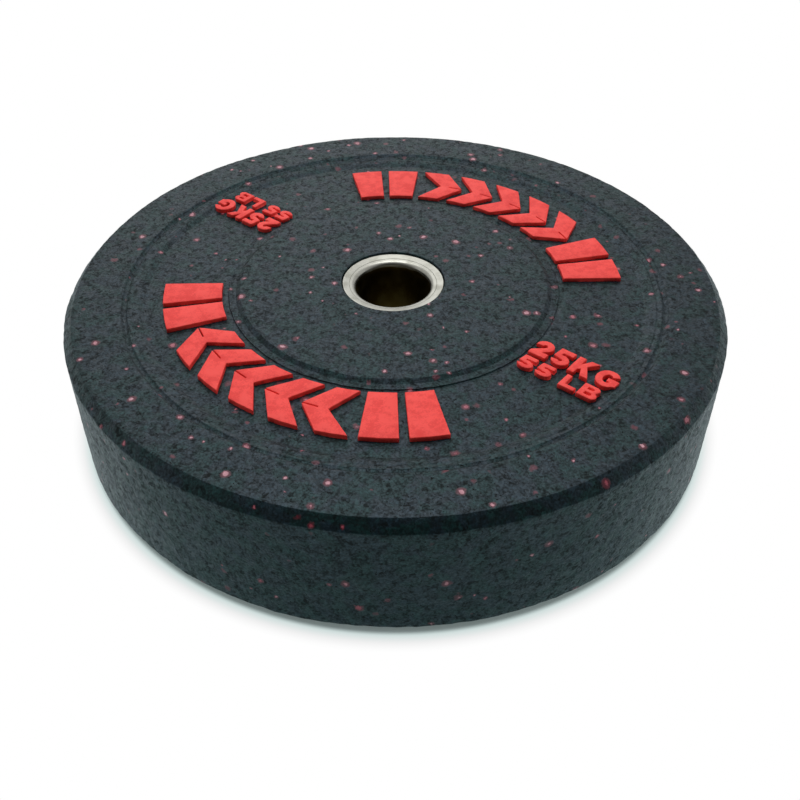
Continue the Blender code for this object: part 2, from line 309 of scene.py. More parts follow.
    def principled(self, **inputs: Any) -> Socket:
        """A Principled BSDF.

        Args:
            **inputs: Its sockets by name, with _ for a space.

        Returns:
            The shader.
        """
        named = {name.replace("_", " "): value for name, value in inputs.items()}
        return self.add("ShaderNodeBsdfPrincipled", {}, named).outputs[0]

    def mixed(self, factor: Any, first: Socket, second: Socket) -> Socket:
        """A shader between two others.

        Args:
            factor: 0 for the first and 1 for the second.
            first: A shader.
            second: A shader.

        Returns:
            The mixed shader.
        """
        return self.add("ShaderNodeMixShader", {}, {0: factor, 1: first, 2: second}).outputs[0]

    def finish(self, shader: Socket) -> None:
        """Ends a material in a shader."""
        self.add("ShaderNodeOutputMaterial", {}, {"Surface": shader})


# Finishes


@dataclass(frozen=True)
class CrumbRubber:
    """Black crumb pressed with a binder, with a few red crumbs among the black ones.

    Attributes:
        cool: The green side of the black.
        warm: The violet side of it.
        cool_sheen: The tint of the shine on the green side.
        warm_sheen: The tint of the shine on the violet side.
        pit: The colour of the pits and dull spots: painted shade at the bottom of a pit and along the creases
            between crumbs, and a darker finish in a dull spot.
        rim_red: The colour of a red crumb's rim.
        red: The reddest colour inside it.
        pink: The palest colour inside it.
        shine: The strength of the shine, where 0.5 is common.
        void_shine: Its strength in a pit.
        polish: The roughness that a crumb's shade adds to.
        pit_depth: How deep a pit looks, in millimetres.
        cover: How much of the pits and dull spots a red crumb hides.
        crumb: The width of a crumb.
        grain: The width of the finest grain.
        fleck_core: The radius of a large red crumb's bare middle.
        fleck_halo: The radius at which such a crumb's rim has faded out.
        spread: About the distance between two places where a red crumb may lie.
        fleck_share: In how many of those places one lies.
        patch: The size of a patch of one shade.
        speck: The width of the small pits.
        hollow: The width of the large ones.
    """

    cool: Colour = (0.0012, 0.0150, 0.0135)
    warm: Colour = (0.0032, 0.0120, 0.0185)
    cool_sheen: Colour = (0.56, 0.85, 0.95)
    warm_sheen: Colour = (0.67, 0.85, 1.0)
    pit: Colour = (0.0012, 0.0030, 0.0032)
    rim_red: Colour = (0.11, 0.008, 0.016)
    red: Colour = (0.36, 0.050, 0.075)
    pink: Colour = (0.68, 0.36, 0.41)
    shine: float = 0.54
    void_shine: float = 0.10
    polish: float = 0.28
    pit_depth: float = 0.3
    cover: float = 0.7
    crumb: float = 2.7 * MM
    grain: float = 1.5 * MM
    fleck_core: float = 1.35 * MM
    fleck_halo: float = 3.1 * MM
    spread: float = 8 * MM
    fleck_share: float = 0.23
    patch: float = 11 * MM
    speck: float = 1.6 * MM
    hollow: float = 4.5 * MM

    def material(self) -> Material:
        """The material."""
        material = bpy.data.materials.new("crumb_rubber")
        nodes = Nodes(material)
        place = nodes.place()
        pits = self.pits(nodes, place)
        fleck, red = self.flecks(nodes, place)
        tone, height, dull = self.crumbs(nodes, place)
        violet = nodes.noise_level(place, self.patch, 4).rise(0.42, 0.58)
        black = nodes.vector("SCALE", nodes.blend(violet, self.cool, self.warm), tone)
        # Where the pits and dull spots lie. Their near-black colour is painted shade in the pits and creases,
        # and a duller, darker finish elsewhere.
        pit_shade_and_dull = pits.larger(dull) * (1 - self.cover * fleck)
        surface = {
            "Base_Color": nodes.blend(fleck, black, red),
            "Roughness": (self.polish + 0.13 * tone).larger(0.8 * pit_shade_and_dull),
            "Normal": nodes.bump(height - self.pit_depth * pits),
            "Specular_IOR_Level": self.shine,
        }
        cool = nodes.principled(**surface, Specular_Tint=(*self.cool_sheen, 1))
        warm = nodes.principled(**surface, Specular_Tint=(*self.warm_sheen, 1))
        rubber = nodes.mixed(violet.socket, cool, warm)
        # The pits' painted shade, also used for the dull spots: near-black, rough and barely shiny.
        pit_shade_and_dull_finish = nodes.principled(Base_Color=(*self.pit, 1), Roughness=0.6, Specular_IOR_Level=self.void_shine)
        nodes.finish(nodes.mixed(pit_shade_and_dull.socket, rubber, pit_shade_and_dull_finish))
        return material

    def crumbs(self, nodes: Nodes, place: Socket) -> Tuple[Number, Number, Number]:
        """The shade and the height of the pressed crumbs.

        Args:
            nodes: The material's tree.
            place: The surface's points.

        Returns:
            The shade, round 1, the height in millimetres and the dullness from 0 to 1. The shade is lower and
            the dullness higher in the fine grain's low places, and the dullness is also higher along the
            creases between crumbs: painted shade on top of the crumbs' own tones.
        """
        ragged = nodes.shaken(place, self.crumb, 0.35 * self.crumb)
        shade, lift, gloss, _ = nodes.cells(ragged, self.crumb)
        fine = nodes.noise_level(place, self.grain, 1.5)
        worn = nodes.noise_level(place, 3 * self.grain, 1).rise(0.58, 0.36)
        crease = nodes.cell_edge(ragged, self.crumb).rise(0, 0.14)
        # The tone follows the fine grain's height, so its low places are darker: painted shade, on top of
        # each crumb's own random shade.
        tone = (0.6 + 0.8 * shade) * (0.5 + fine)
        height = 0.10 * lift + 0.16 * fine + 0.05 * crease
        # The fine-grain and crease terms make the low places and the creases between crumbs duller and
        # darker: painted shade.
        dull = 0.35 * gloss ** 3 + 0.38 * fine.rise(0.66, 0.38) + 0.21 * worn + 0.07 * (1 - crease)
        return tone, height, dull

    def flecks(self, nodes: Nodes, place: Socket) -> Tuple[Number, Socket]:
        """Where a red crumb lies, and its colour.

        Args:
            nodes: The material's tree.
            place: The surface's points.

        Returns:
            How much of the red shows, from 0 to 1, and its colour, pale in the middle and dark at the rim.
        """
        bent = nodes.shaken(place, 0.4 * self.spread, 0.16 * self.spread)
        ragged = nodes.shaken(bent, 0.12 * self.spread, 0.06 * self.spread)
        chosen, size, pale, middle = nodes.cells(ragged, self.spread)
        middle = middle / (0.42 + 0.95 * size ** 2)
        picked = chosen.rise(1 - self.fleck_share, 1.0005 - self.fleck_share)
        halo, core = self.fleck_halo / self.spread, self.fleck_core / self.spread
        bare = nodes.blend(pale ** 1.4, self.red, self.pink)
        colour = nodes.blend(middle.rise(1.15 * core, 0.8 * core), self.rim_red, bare)
        return middle.rise(halo, 0.6 * halo) * picked, colour

    def pits(self, nodes: Nodes, place: Socket) -> Number:
        """Where a crumb is missing from the surface, from 0 to 1, with arguments as for flecks."""
        # A pit takes the near-black pit colour: painted shade at its bottom.
        specks = nodes.noise_level(place, self.speck, 2).rise(0.655, 0.725)
        hollows = nodes.noise_level(place, self.hollow, 5).rise(0.70, 0.76)
        return specks.larger(hollows)


@dataclass(frozen=True)
class RedRubber:
    """Cast red rubber, almost matt.

    Attributes:
        colour: The main colour.
        deep: The colour of its darker patches.
        patch: The size of those patches.
        grain: The width of its fine grain.
    """

    colour: Colour = (0.95, 0.056, 0.044)
    deep: Colour = (0.82, 0.034, 0.028)
    patch: float = 7 * MM
    grain: float = 0.8 * MM

    def material(self) -> Material:
        """The material."""
        material = bpy.data.materials.new("red_rubber")
        nodes = Nodes(material)
        place = nodes.place()
        patches = nodes.noise_level(place, self.patch, 4)
        shade, lift, _, _ = nodes.cells(nodes.shaken(place, self.grain, 0.3 * self.grain), self.grain)
        colour = nodes.blend((patches + 0.2 * shade).rise(0.5, 0.75), self.colour, self.deep)
        roughness = 0.5 + 0.25 * patches
        height = 0.03 * lift + 0.12 * patches
        nodes.finish(nodes.principled(Base_Color=colour, Roughness=roughness, Normal=nodes.bump(height)))
        return material


@dataclass(frozen=True)
class TurnedSteel:
    """Stainless steel turned on a lathe, with fine rings round Z.

    Attributes:
        name: The material's name.
        bright: The metal's colour.
        dull: Its colour where it is stained or oily.
        bore: A dark brown colour deep inside the bore: painted shade.
        middle: The height of the bore's middle.
        bore_shade_reach: How far from the middle the painted shade inside the bore reaches.
        bore_shade_fade: Half the length over which that shade fades out.
        stain: The size of a stain.
        roughness: Its least roughness.
        ring: The width of the turning marks.
    """

    name: str = "stainless_steel"
    bright: Colour = (0.43, 0.428, 0.385)
    dull: Colour = (0.34, 0.338, 0.295)
    bore: Colour = (0.10, 0.072, 0.020)
    middle: float = 47 * MM
    bore_shade_reach: float = 41 * MM
    bore_shade_fade: float = 0.6 * MM
    stain: float = 9 * MM
    roughness: float = 0.24
    ring: float = 0.35 * MM

    def material(self) -> Material:
        """The material."""
        material = bpy.data.materials.new(self.name)
        nodes = Nodes(material)
        place = nodes.place()
        stains = nodes.noise_level(place, self.stain, 5).rise(0.42, 0.7)
        rings = self.rings(nodes, place)
        # Painted shade: deep in the bore, the steel takes the dark bore colour in place of its own.
        depth = nodes.maths("ABSOLUTE", nodes.axis(place, "Z") - self.middle, 0)
        edges = self.bore_shade_reach + self.bore_shade_fade, self.bore_shade_reach - self.bore_shade_fade
        inside = (depth + 0.8 * MM * stains).rise(*edges)
        colour = nodes.blend(inside, nodes.blend(stains, self.bright, self.dull), self.bore)
        roughness = self.roughness + 0.14 * stains + 0.12 * rings
        normal = nodes.bump(0.006 * rings)
        nodes.finish(nodes.principled(Base_Color=colour, Metallic=1.0, Roughness=roughness, Normal=normal))
        return material

    def rings(self, nodes: Nodes, place: Socket) -> Number:
        """Turning marks: noise that changes with the radius and height, and barely along the ring.

        Args:
            nodes: The material's tree.
            place: The surface's points.

        Returns:
            The marks, from 0 to 1.
        """
        radius = nodes.length(nodes.vector("MULTIPLY", place, (1, 1, 0)))
        height = nodes.axis(place, "Z")
        along = nodes.axis(place, "X") * 0.02
        marks = nodes.add("ShaderNodeCombineXYZ", {}, {0: radius.socket, 1: height.socket, 2: along.socket})
        return nodes.noise_level(marks.outputs[0], self.ring, 3)


@dataclass(frozen=True)
class PlatedSteel:
    """Zinc-plated sheet steel, with the plating's mottled crystals.

    Attributes:
        light: The lighter crystals' colour.
        dark: The darker crystals' colour.
        crystal: The width of a crystal.
    """

    light: Colour = (0.48, 0.49, 0.50)
    dark: Colour = (0.30, 0.31, 0.33)
    crystal: float = 4 * MM

    def material(self) -> Material:
        """The material."""
        material = bpy.data.materials.new("plated_steel")
        nodes = Nodes(material)
        ragged = nodes.shaken(nodes.place(), self.crystal, self.crystal / 4)
        shade, gloss, _, _ = nodes.cells(ragged, self.crystal)
        colour = nodes.blend(shade, self.light, self.dark)
        nodes.finish(nodes.principled(Base_Color=colour, Metallic=1.0, Roughness=0.35 + 0.25 * gloss))
        return material


# Turned meshes


@dataclass
class Corner:
    """A corner of a turned profile, or a point between two, which becomes one ring of vertices.

    Attributes:
        radius: Its distance from the axis.
        height: Its height.
        rounding: The radius that rounds it off.
        wander: How far its radius strays along the ring, in long waves.
        ragged: How far it strays in short waves.
        chips: How deep crumbs are missing from it.
        rough: How strongly it has the surface's relief, where 1 is the relief's own depth.
        sunk: How much deeper it lies on the side where the mould pressed hardest.
        out: How far the surface there faces outwards, which Turning works out.
        up: How far it faces upwards.
    """

    radius: float
    height: float
    rounding: float = 0.0
    wander: float = 0.0
    ragged: float = 0.0
    chips: float = 0.0
    rough: float = 0.0
    sunk: float = 0.0
    out: float = 0.0
    up: float = 0.0


@dataclass(frozen=True)
class Relief:
    """The unevenness of pressed crumb. Its waves go both ways from the true size, and its chips inwards.

    Attributes:
        swell: The depth of the broad waves.
        swell_size: Their length.
        crumb: The depth of the crumbs' relief.
        crumb_size: Its length.
        wander_size: The length of an edge's long waves.
        ragged_size: The length of an edge's short waves.
        chip_size: The length of the chips in an edge.
        chip_level: The level of the noise above which a chip is missing.
        pressed: The direction of the side where the mould pressed hardest, in degrees.
    """

    swell: float = 0.25 * MM
    swell_size: float = 38 * MM
    crumb: float = 0.20 * MM
    crumb_size: float = 5.5 * MM
    wander_size: float = 34 * MM
    ragged_size: float = 5 * MM
    chip_size: float = 5 * MM
    chip_level: float = 0.15
    pressed: float = 255.0

    def moved(self, station: Corner, angle: float) -> Vector:
        """Where one vertex goes.

        Args:
            station: The ring that it belongs to.
            angle: Its angle round the axis, in radians.

        Returns:
            The vertex.
        """
        along = Vector((cos(angle), sin(angle), 0))
        radius = station.radius
        if station.wander or station.ragged:
            spot = along * radius
            long_wave = noise.noise(spot / self.wander_size)
            short_wave = noise.noise(spot / self.ragged_size)
            radius += station.wander * long_wave + station.ragged * short_wave
        sunk = station.sunk * (0.5 + 0.5 * cos(angle - radians(self.pressed)))
        point = along * radius + Vector((0, 0, station.height - copysign(sunk, station.up)))
        if not station.rough:
            return point
        depth = self.swell * noise.noise(point / self.swell_size)
        depth += self.crumb * noise.noise(point / self.crumb_size)
        if station.chips:
            depth += station.chips * max(0.0, noise.noise(point / self.chip_size) - self.chip_level)
        return point - (along * station.out + Vector((0, 0, station.up))) * depth * station.rough


@dataclass
class Turning:
    """Turns a closed profile into a mesh.

    Attributes:
        corners: The profile, so that the material is on its right: outwards on top, then down the wall.
        sides: Least radius and number of sides, widest first. Each number is half the one before.
        step: About how far apart the rings of an uneven run are.
        relief: The surface's unevenness, for the corners that are rough.
        least_turn: The turn under which a corner isn't rounded.
        sharp_turn: The turn from which its rounding has one piece more.
    """

    corners: Sequence[Corner]
    sides: Sequence[Tuple[float, int]]
    step: float = 3 * MM
    relief: Relief = field(default_factory=Relief)
    least_turn: float = radians(4)
    sharp_turn: float = radians(60)

    def stations(self) -> List[Corner]:
        """The profile's points, with its corners rounded and its runs divided."""
        arcs = [self.rounded(i) for i in range(len(self.corners))]
        stations: List[Corner] = []
        for arc, following in zip(arcs, arcs[1:] + arcs[:1]):
            stations += arc
            stations += self.divided(arc[-1], following[0])
        for i, here in enumerate(stations):
            before = stations[i - 1]
            after = stations[(i + 1) % len(stations)]
            across, rise = after.radius - before.radius, after.height - before.height
            length = max(hypot(across, rise), 1e-9)
            here.out, here.up = -rise / length, across / length
        return stations

    def rounded(self, index: int) -> List[Corner]:
        """One corner as one station, or as an arc of them.

        Args:
            index: The corner's place in the profile.

        Returns:
            The stations.
        """
        corner = self.corners[index]
        here = Vector((corner.radius, corner.height))
        before = self.corners[index - 1]
        after = self.corners[(index + 1) % len(self.corners)]
        back = Vector((before.radius, before.height)) - here
        ahead = Vector((after.radius, after.height)) - here
        turn = pi - back.angle(ahead)
        if not corner.rounding or turn < self.least_turn:
            return [replace(corner)]
        length = min(corner.rounding * tan(turn / 2), 0.45 * back.length, 0.45 * ahead.length)
        start, end = here + back.normalized() * length, here + ahead.normalized() * length
        pieces = 2 if turn < self.sharp_turn else 3
        stations = []
        for i in range(pieces + 1):
            share = i / pieces
            point = start * (1 - share) ** 2 + here * 2 * share * (1 - share) + end * share ** 2
            stations.append(replace(corner, radius=point.x, height=point.y))
        return stations

    def divided(self, start: Corner, end: Corner) -> List[Corner]:
        """The stations of a straight run, without its ends.

        Args:
            start: The last station before the run.
            end: The first station after it.

        Returns:
            The stations, with the ends' features faded into each other and no chips. A smooth run has none.
        """
        if not (start.rough or end.rough):
            return []
        pieces = max(1, round(hypot(end.radius - start.radius, end.height - start.height) / self.step))
        stations = []
        for i in range(1, pieces):
            share = i / pieces
            radius, height, wander, ragged, sunk = (
                getattr(start, name) * (1 - share) + getattr(end, name) * share
                for name in ("radius", "height", "wander", "ragged", "sunk")
            )
            rough = max(start.rough, end.rough)
            stations.append(Corner(radius, height, 0, wander, ragged, rough=rough, sunk=sunk))
        return stations

    def sides_at(self, radius: float) -> int:
        """How many sides a ring of this radius has."""
        return next(count for least, count in self.sides if radius >= least)

    def mesh(self, name: str) -> Mesh:
        """The turned mesh.

        Args:
            name: Its name.

        Returns:
            The mesh, closed and shaded smooth.
        """
        points: List[Vector] = []
        rings: List[List[int]] = []
        for station in self.stations():
            count = self.sides_at(station.radius)
            rings.append(list(range(len(points), len(points) + count)))
            points += [self.relief.moved(station, 2 * pi * i / count) for i in range(count)]
        faces: List[Tuple[int, ...]] = []
        for ring, following in zip(rings, rings[1:] + rings[:1]):
            faces += self.strip(ring, following)
        mesh = bpy.data.meshes.new(name)
        mesh.from_pydata(points, [], faces)
        mesh.shade_smooth()
        return mesh

    @staticmethod
    def strip(ring: List[int], following: List[int]) -> Iterable[Tuple[int, ...]]:
        """The faces between two rings, whose numbers of sides are alike or one twice the other.

        Args:
            ring: The first ring's vertices.
            following: The second ring's vertices.

        Yields:
            Faces that look away from the material.
        """
        count = min(len(ring), len(following))
        for i in range(count):
            j = (i + 1) % count
            if len(ring) == len(following):
                yield ring[i], following[i], following[j], ring[j]
            elif len(ring) > len(following):
                middle = ring[2 * i + 1]
                yield ring[2 * i], following[i], middle
                yield middle, following[i], following[j]
                yield middle, following[j], ring[2 * j]
            else:
                middle = following[2 * i + 1]
                yield ring[i], following[2 * i], middle
                yield ring[i], middle, ring[j]
                yield ring[j], middle, following[2 * j]


# The plate's sub-assemblies


def add_piece(mesh: Mesh, name: str, node: str, material: Material) -> bpy.types.Object:
    """Puts a mesh in the scene in place of a node of the frame.

    Args:
        mesh: The piece's mesh, in place.
        name: The piece's name.
        node: The node that it replaces.
        material: Its material.

    Returns:
        The piece.
    """
    piece = bpy.data.objects.new(name, mesh)
    bpy.context.scene.collection.objects.link(piece)
    mesh.materials.clear()
    mesh.materials.append(material)
    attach(piece, BODY)
    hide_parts(node)
    LOG.info("%s: %d vertices, replaces %s", name, len(mesh.vertices), node)
    return piece


class Side(Enum):
    """The plate's two faces, by the word that their nodes' names start with."""

    UPPER = "upper"
    LOWER = "lower"


@dataclass
class RubberDisc:
    """The disc of pressed crumb rubber, with the frame's outer sizes.

    Attributes:
        chamfer_width: The outer chamfer's radial width.
        chamfer_depth: Its height.
        rim_inner: The radius at which the flat rim ends.
        ledge_radius: The radius of the groove inside it.
        ledge_width: The distance from that groove's bottom to its inner lip.
        ledge_depth: The depth of that lip below the face, where it is shallowest.
        ledge_tilt: How much deeper it gets on the side where the mould pressed hardest.
        groove_depth: Its own depth below the face, where it is shallowest.
        ledge_groove: How much deeper it gets on the side where the mould pressed hardest.
        line_radius: The radius of the faint line between that groove and the web.
        line_depth: Its depth below the slope.
        web_outer: The web's outer radius.
        ramp_curve: How soon the slope outside it rises, where 1 is a straight slope.
        web_depth: The web's depth below the face.
        foot_radius: The radius of the step at the boss's foot.
        shelf_radius: The radius at which the boss's slope starts.
        shelf_depth: The depth of the shelf between them.
        boss_radius: The boss's radius.
        hub_seat_radius: The radius of the recess for the hub's flange.
        hub_seat_depth: Its depth.
        sleeve_seat_radius: The radius of the hole for the hub's sleeve.
        step: About how far apart the rings of vertices are.
        sides: Least radius and number of sides of those rings, as in Turning.
    """

    chamfer_width: float = 6.1 * MM
    chamfer_depth: float = 6.8 * MM
    rim_inner: float = 186 * MM
    ledge_radius: float = 184.3 * MM
    ledge_width: float = 2.1 * MM
    ledge_depth: float = 0.6 * MM
    ledge_tilt: float = 0.6 * MM
    groove_depth: float = 2.1 * MM
    ledge_groove: float = 0.3 * MM
    line_radius: float = 179.3 * MM
    line_depth: float = 0.6 * MM
    web_outer: float = 171 * MM
    ramp_curve: float = 0.8
    web_depth: float = 3.1 * MM
    foot_radius: float = 113.9 * MM
    shelf_radius: float = 109.1 * MM
    shelf_depth: float = 2.2 * MM
    boss_radius: float = 106.1 * MM
    hub_seat_radius: float = 35.8 * MM
    hub_seat_depth: float = 5.6 * MM
    sleeve_seat_radius: float = 28.5 * MM
    step: float = 2.9 * MM
    sides: Tuple[Tuple[float, int], ...] = ((150 * MM, 608), (75 * MM, 304), (0, 152))

    def face(self) -> List[Corner]:
        """The upper face's corners from the sleeve outwards, with heights measured from the face."""
        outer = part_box("rubber_body")[1].x
        rim = {"wander": 0.7 * MM, "ragged": 0.3 * MM, "chips": 0.4 * MM, "rough": 1}
        shoulder = {"wander": 0.2 * MM, "ragged": 0.2 * MM, "chips": 0.5 * MM, "rough": 1}
        return self.boss() + self.web() + [
            Corner(self.rim_inner + 0.6 * MM, 0, 2 * MM, **rim),
            Corner(outer - self.chamfer_width, 0, 0.6 * MM, **shoulder),
            Corner(outer, -self.chamfer_depth, 1.2 * MM, chips=0.3 * MM, rough=1.6),
        ]

    def boss(self) -> List[Corner]:
        """The corners of the hub's seat and the boss, down to the web."""
        seat = -self.hub_seat_depth
        shelf = -self.shelf_depth
        foot = {"wander": 0.4 * MM, "ragged": 0.5 * MM, "rough": 1}
        return [
            Corner(self.sleeve_seat_radius, seat),
            Corner(self.hub_seat_radius, seat),
            Corner(self.hub_seat_radius, 0, 0.6 * MM, rough=0.5),
            Corner(self.boss_radius, 0, 0.8 * MM, wander=0.5 * MM, ragged=0.25 * MM, chips=1 * MM, rough=1),
            Corner(self.shelf_radius, shelf, 1 * MM, wander=0.5 * MM, ragged=0.1 * MM, rough=1),
            Corner(self.foot_radius, shelf, 0.2 * MM, chips=0.4 * MM, **foot),
            Corner(self.foot_radius + 0.2 * MM, -self.web_depth - 0.2 * MM, **foot),
            Corner(self.foot_radius + 1.1 * MM, -self.web_depth, **foot),
        ]

    def web(self) -> List[Corner]:
        """The corners from the web's outer edge to the groove inside the rim."""
        edge = {"wander": 1.5 * MM, "ragged": 0.4 * MM, "chips": 0.5 * MM, "rough": 1}
        groove = {"wander": 0.7 * MM, "ragged": 0.3 * MM, "chips": 1.5 * MM, "rough": 1}
        return [
            Corner(self.web_outer, -self.web_depth - 0.4 * MM, 0.3 * MM, sunk=-0.3 * MM, **edge),
            self.ramp(self.web_outer + 4 * MM),
            self.ramp(self.line_radius - 0.8 * MM),
            self.ramp(self.line_radius, self.line_depth, -0.5 * MM),
            self.ramp(self.ledge_radius - self.ledge_width),
            Corner(self.ledge_radius, -self.groove_depth, sunk=self.ledge_groove, **groove),
        ]

    def ramp(self, radius: float, dip: float = 0.0, sunk: float = 0.0) -> Corner:
        """A corner of the slope between the web and the groove, which flattens outwards.

        Args:
            radius: Its radius.
            dip: How far it lies below the slope.
            sunk: How much further on the side where the mould pressed hardest.

        Returns:
            The corner.
        """
        share = (radius - self.web_outer) / (self.ledge_radius - self.ledge_width - self.web_outer)
        height = -self.web_depth + (self.web_depth - self.ledge_depth) * share ** self.ramp_curve
        sunk += self.ledge_tilt * share
        return Corner(radius, height - dip, 0.8 * MM, 0.8 * MM, 0.2 * MM, chips=dip, rough=1, sunk=sunk)

    def profile(self) -> List[Corner]:
        """The closed profile: the upper face, and the lower one as its mirror image."""
        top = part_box("rubber_body")[1].z
        face = self.face()
        upper = [replace(corner, height=top + corner.height) for corner in face]
        lower = [replace(corner, height=-corner.height) for corner in reversed(face)]
        return upper + lower

    def build(self) -> None:
        """Makes the disc and dresses it."""
        mesh = Turning(self.profile(), self.sides, self.step).mesh("rubber_disc")
        add_piece(mesh, "rubber_disc", "rubber_body", CrumbRubber().material())


@dataclass
class Hub:
    """The steel hub: two flanged half sleeves that meet in the bore.

    Attributes:
        bore_radius: The bore's radius.
        wall: The sleeve's wall.
        flange_thickness: The flange's thickness.
        edge: The chamfer on the flange's rim.
        sunk: How far the flanges' faces lie below the frame's, pulled in by the rubber.
        rim: The radius inside which the flange's face is dished.
        lip: The radius at which the dish ends in the mouth.
        lip_depth: The dish's depth there.
        brow: The radius that rounds the mouth's upper part, in section.
        brow_slope: The slope at which that part ends.
        throat: The radius that rounds the part below, in section.
        throat_slope: The slope at which the throat ends.
        neck_length: The length over which the bore then narrows to its own radius.
        line_radius: The radius of the turned line in the flange's face.
        line_depth: Its depth, which is half its width.
        fillet: The fillet between flange and sleeve.
        mouth_steps: How many pieces each part of the mouth's rounding has.
        sides: How many sides a ring has.
        crease: The angle from which an edge stays sharp.
    """

    bore_radius: float = 25.2 * MM
    wall: float = 3 * MM
    flange_thickness: float = 4 * MM
    edge: float = 0.5 * MM
    sunk: float = 0.4 * MM
    rim: float = 34.6 * MM
    lip: float = 28.8 * MM
    lip_depth: float = 1.43 * MM
    brow: float = 3.5 * MM
    brow_slope: float = radians(28)
    throat: float = 3.5 * MM
    throat_slope: float = radians(68)
    neck_length: float = 9 * MM
    line_radius: float = 30.5 * MM
    line_depth: float = 0.2 * MM
    fillet: float = 3.8 * MM
    mouth_steps: int = 9
    sides: int = 192
    crease: float = radians(25)

    def profile(self, face: float, middle: float) -> List[Corner]:
        """A half sleeve's corners, from the bore's mouth outwards.

        Args:
            face: The flange's height.
            middle: The height at which the halves meet.

        Returns:
            The corners, in the order that Turning takes for an upper half.
        """
        side = 1 if face > middle else -1
        face -= side * self.sunk
        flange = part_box("upper_hub_sleeve")[1].x
        outside = self.bore_radius + self.wall
        under = face - side * self.flange_thickness
        dish = self.lip_depth / (self.rim - self.lip)
        mouth = self.mouth(atan(dish))
        corners = [Corner(self.bore_radius, middle)]
        corners.append(Corner(self.bore_radius, face - side * (mouth[-1][1] + self.neck_length)))
        corners += [Corner(radius, face - side * depth) for radius, depth in reversed(mouth)]
        for share in (-1, 0, 1):
            radius = self.line_radius + share * self.line_depth
            depth = (self.rim - radius) * dish + self.line_depth * (1 - abs(share))
            corners.append(Corner(radius, face - side * depth))
        corners.append(Corner(self.rim, face, 1.5 * MM))
        corners += [
            Corner(flange - self.edge, face, 0.2 * MM),
            Corner(flange, face - side * self.edge, 0.2 * MM),
            Corner(flange, under, 0.2 * MM),
            Corner(outside + self.fillet, under),
            Corner(outside, under - side * self.fillet),
            Corner(outside, middle),
        ]
        return corners if side > 0 else list(reversed(corners))

    def mouth(self, slope: float) -> List[Tuple[float, float]]:
        """The mouth's rounding, as two arcs.

        Args:
            slope: The slope at the lip.

        Returns:
            Radius and depth below the flange's rim of each point, from the lip downwards.
        """
        points = [(self.lip, self.lip_depth)]
        for rounding, last in ((self.brow, self.brow_slope), (self.throat, self.throat_slope)):
            step = (last - slope) / self.mouth_steps
            for _ in range(self.mouth_steps):
                radius, depth = points[-1]
                radius -= rounding * (sin(slope + step) - sin(slope))
                depth += rounding * (cos(slope) - cos(slope + step))
                points.append((radius, depth))
                slope += step
        return points

    def build(self) -> None:
        """Makes both halves and dresses them."""
        steel = TurnedSteel().material()
        for side in Side:
            low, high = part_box(side.value + "_hub_sleeve")
            ends = (high.z, low.z) if side is Side.UPPER else (low.z, high.z)
            mesh = Turning(self.profile(*ends), ((0, self.sides),)).mesh(side.value + "_hub")
            mesh.set_sharp_from_angle(angle=self.crease)
            add_piece(mesh, side.value + "_hub", side.value + "_hub_sleeve", steel)


@dataclass
class RedInserts:
    """The red rubber inserts, moulded into both faces.

    Attributes:
        weld: The distance within which the node's split corners are joined.
        piece_length: The length of the pieces that an outline is cut into.
        edge: The width that rounds the top edges.
        wobble: How far an outline strays.
        wobble_size: The length of the waves in it.
        level: The angle within which two faces count as one.
        crease: The angle from which an edge stays sharp.
    """

    weld: float = 0.01 * MM
    piece_length: float = 2.2 * MM
    edge: float = 0.42 * MM
    wobble: float = 0.16 * MM
    wobble_size: float = 4 * MM
    level: float = radians(0.5)
    crease: float = radians(40)

    def build(self) -> None:
        """Makes every insert and dresses it."""
        red = RedRubber().material()
        for node in sorted(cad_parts):
            if "_band" in node or "_mark" in node:
                add_piece(self.moulded(node), node + "_red", node, red)

    def moulded(self, node: str) -> Mesh:
        """A node's prism with soft top edges and a slightly uneven outline.

        Args:
            node: The insert's node.

        Returns:
            The mesh.
        """
        up = 1 if node.startswith(Side.UPPER.value) else -1
        shape = bmesh.new()
        shape.from_mesh(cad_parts[node].data)
        bmesh.ops.remove_doubles(shape, verts=shape.verts, dist=self.weld)
        bmesh.ops.dissolve_limit(shape, angle_limit=self.level, verts=shape.verts, edges=shape.edges)
        self.cut_outline(shape)
        for vert in shape.verts:
            spot = Vector((vert.co.x, vert.co.y, 0)) / self.wobble_size
            vert.co.x += self.wobble * noise.noise(spot)
            vert.co.y += self.wobble * noise.noise(spot + Vector((17, 0, 0)))
        edges = self.rim(shape, up)
        bmesh.ops.bevel(shape, geom=edges, offset=self.edge, segments=2, profile=0.5, affect="EDGES")
        bmesh.ops.triangulate(shape, faces=[face for face in shape.faces if len(face.verts) > 4])
        mesh = bpy.data.meshes.new(node + "_red")
        shape.to_mesh(mesh)
        shape.free()
        mesh.shade_smooth()
        mesh.set_sharp_from_angle(angle=self.crease)
        return mesh

    def cut_outline(self, shape: bmesh.types.BMesh) -> None:
        """Cuts the level edges round the caps into short pieces.

        Args:
            shape: The insert.
        """
        for edge in list(shape.edges):
            start, end = (vert.co for vert in edge.verts)
            if abs(start.z - end.z) < self.weld and any(abs(face.normal.z) < 0.5 for face in edge.link_faces):
                cuts = round((end - start).length / self.piece_length) - 1
                if cuts > 0:
                    bmesh.ops.subdivide_edges(shape, edges=[edge], cuts=cuts)

    @staticmethod
    def rim(shape: bmesh.types.BMesh, up: int) -> List[bmesh.types.BMEdge]:
        """The edges between the outward cap and the sides.

        Args:
            shape: The insert.
            up: 1 for the upper face and -1 for the lower one.

        Returns:
            The edges.
        """
        level = max(vert.co.z * up for vert in shape.verts)
        edges = []
        for edge in shape.edges:
            flat = all(abs(vert.co.z * up - level) < 1e-6 for vert in edge.verts)
            if flat and any(abs(face.normal.z) < 0.5 for face in edge.link_faces):
                edges.append(edge)
        return edges


